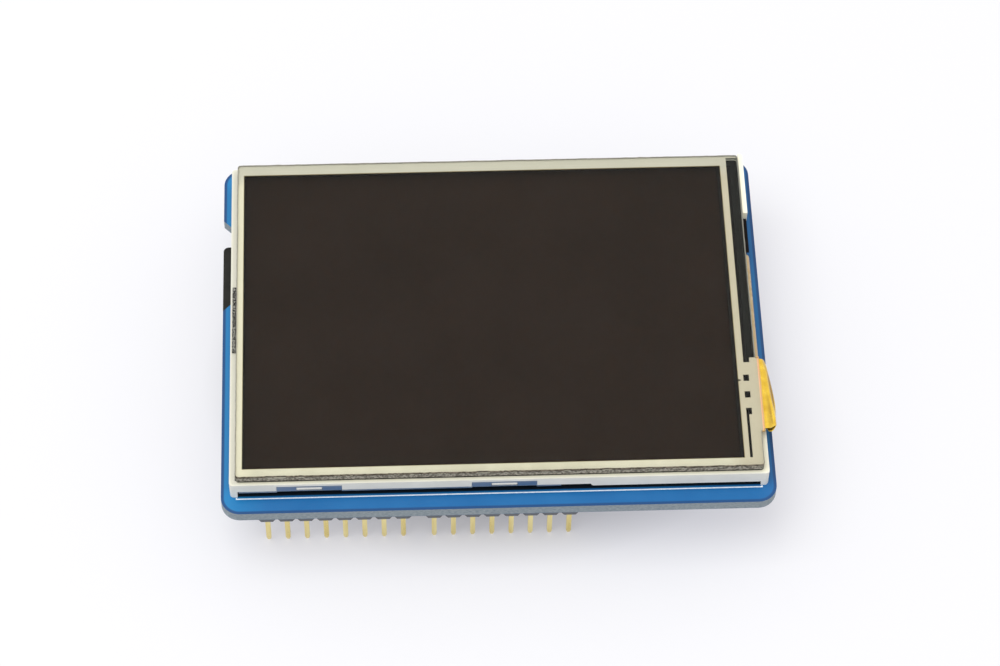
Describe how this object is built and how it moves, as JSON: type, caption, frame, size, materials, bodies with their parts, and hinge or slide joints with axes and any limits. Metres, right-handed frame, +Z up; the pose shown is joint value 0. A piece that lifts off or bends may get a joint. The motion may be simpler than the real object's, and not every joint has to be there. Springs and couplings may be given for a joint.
{
  "type": "touch display shield module",
  "caption": "Flat colour display with resistive touch panel on a circuit board, with downward header pins and a memory card slot underneath.",
  "frame": {"origin": "level of the header pin tips, under the middle of the circuit board", "axes": "+X along the board's long side towards the touch panel's tail, +Y from the longer header pair towards the shorter pair, +Z up out of the screen"},
  "size_m": [0.0726, 0.0546, 0.0159],
  "materials": {
    "solder_mask": "glossy blue solder mask over glass-fibre board",
    "printed_mark": "white printed ink",
    "solder": "bright reflowed solder",
    "header_plastic": "black moulded nylon, satin",
    "gold_pin": "thin gold plate, satin",
    "slot_plastic": "black liquid-crystal polymer",
    "slot_steel": "stamped stainless steel",
    "card_plastic": "black moulded card",
    "chip_plastic": "black moulded epoxy",
    "tinned_lead": "matte tin plate",
    "resistor_black": "black glazed film with tinned ends",
    "capacitor_ceramic": "tan ceramic with tinned ends",
    "foam": "dark acrylic foam tape",
    "tray_steel": "bright rolled stainless sheet",
    "white_plastic": "white moulded polycarbonate, satin",
    "reflector": "white reflector film",
    "clear_guide": "clear acrylic light guide",
    "led_phosphor": "yellow phosphor light source, unlit",
    "diffuser": "milky diffuser film",
    "prism": "grooved prism film",
    "polarizer": "dark brown-black polarizer film",
    "cell_glass": "thin display glass with ground edges",
    "silicon": "bare silicon driver chip",
    "black_tape": "black light-blocking tape",
    "display_tail_film": "tan polyimide tail",
    "gasket_foam": "black foam gasket",
    "panel_glass": "clear panel glass with ground grey edges",
    "printed_border": "beige-silver printed conductor border",
    "panel_film": "clear hard-coated film",
    "amber_film": "glossy amber polyimide tail"
  },
  "bodies": {
    "root": {"circuit_board": "solder_mask", "screen_outline_mark": "printed_mark", "solder_joints": "solder", "digital_low_header_base": "header_plastic", "digital_low_header_pins": "gold_pin", "digital_high_header_base": "header_plastic", "digital_high_header_pins": "gold_pin", "analog_header_base": "header_plastic", "analog_header_pins": "gold_pin", "power_header_base": "header_plastic", "power_header_pins": "gold_pin", "programming_socket_body": "header_plastic", "programming_socket_contacts": "gold_pin", "card_slot_floor": "slot_plastic", "card_slot_cover": "slot_steel", "card_slot_contacts": "gold_pin", "memory_card": "card_plastic", "touch_controller_body": "chip_plastic", "touch_controller_leads": "tinned_lead", "level_shifter_bodies": "chip_plastic", "level_shifter_leads": "tinned_lead", "regulator_body": "chip_plastic", "regulator_leads": "tinned_lead", "backlight_transistor_body": "chip_plastic", "backlight_transistor_leads": "tinned_lead", "chip_resistors": "resistor_black", "chip_capacitors": "capacitor_ceramic", "foam_tape": "foam", "steel_tray": "tray_steel", "light_frame": "white_plastic", "reflector_film": "reflector", "light_guide": "clear_guide", "backlight_leds": "led_phosphor", "diffuser_film": "diffuser", "prism_films": "prism", "rear_polarizer": "polarizer", "lower_glass": "cell_glass", "upper_glass": "cell_glass", "front_polarizer": "polarizer", "driver_chip": "silicon", "shade_tape": "black_tape", "display_tail": "display_tail_film", "touch_gasket": "gasket_foam", "touch_glass": "panel_glass", "touch_border": "printed_border", "touch_film": "panel_film", "touch_tail": "amber_film"}
  },
  "joints": []
}
